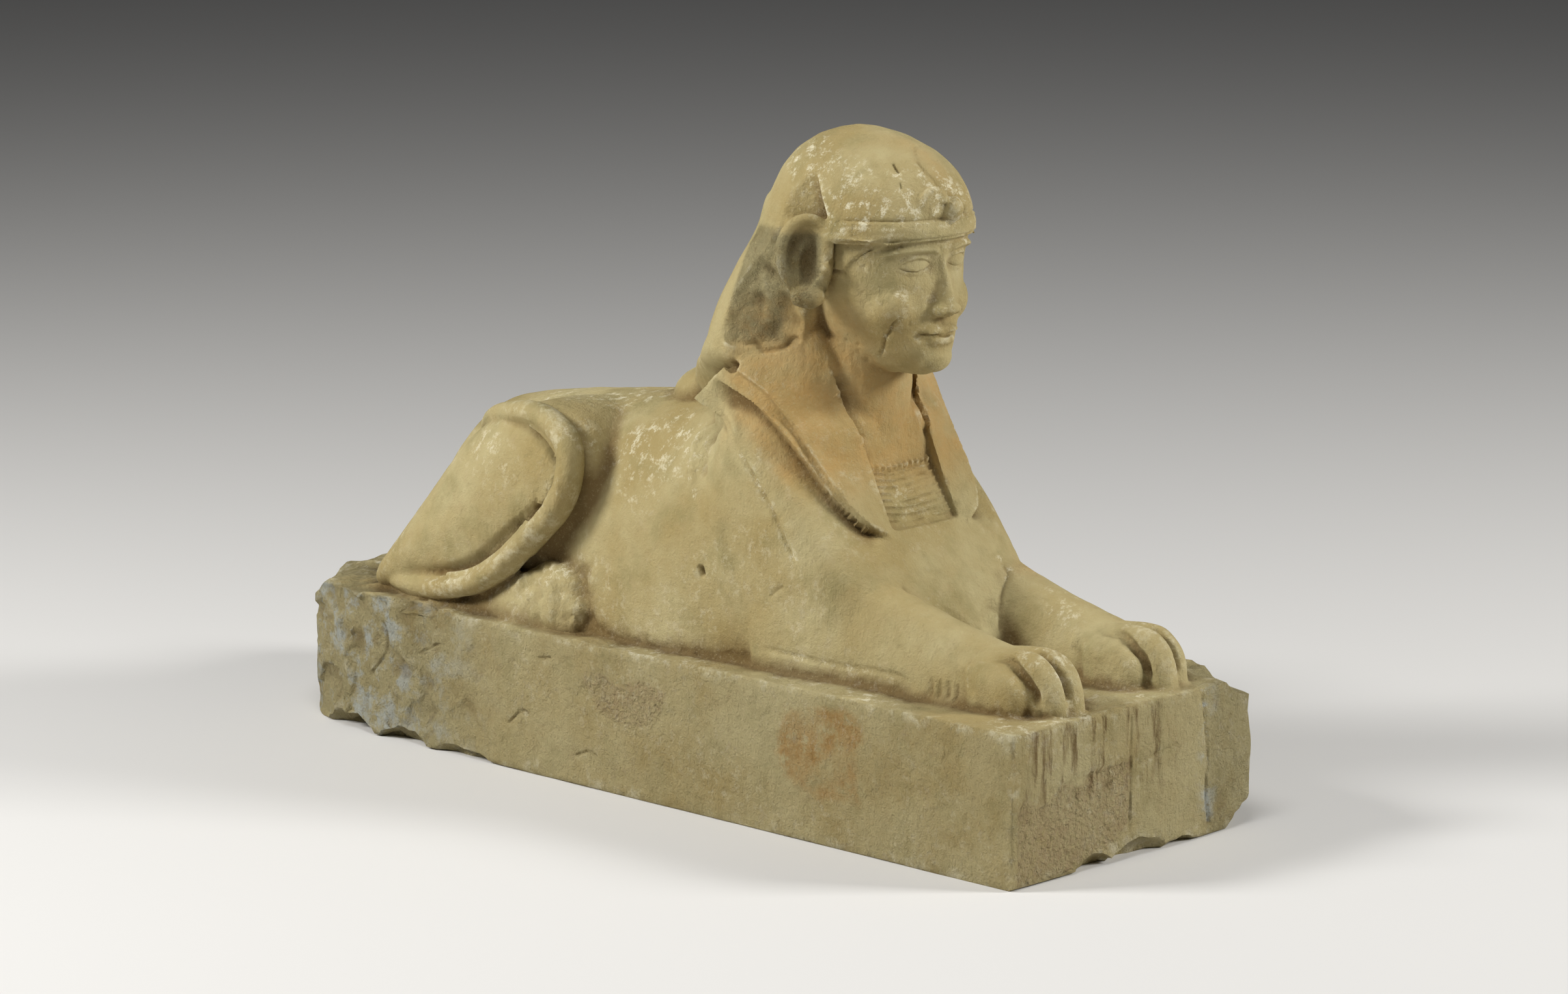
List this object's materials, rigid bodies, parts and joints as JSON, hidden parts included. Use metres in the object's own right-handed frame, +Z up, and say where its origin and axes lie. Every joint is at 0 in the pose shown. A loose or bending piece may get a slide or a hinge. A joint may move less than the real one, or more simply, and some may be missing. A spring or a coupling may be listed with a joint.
{
  "type": "sphinx statue",
  "caption": "Crouching sphinx in royal headcloth carved in one block with its rectangular plinth; weathered limestone, broken cobra on the brow, chipped plinth edges.",
  "frame": {"origin": "middle of the plinth's underside, on the surface that it stands on", "axes": "+Z up; the statue faces -Y, its own left side is +X and its right side is -X"},
  "size_m": [0.36, 1.05, 0.674],
  "materials": {
    "limestone": "carved and weathered, matte, with chalky abrasions and pale brown stains"
  },
  "bodies": {
    "root": {"sphinx_statue": "limestone"}
  },
  "joints": []
}
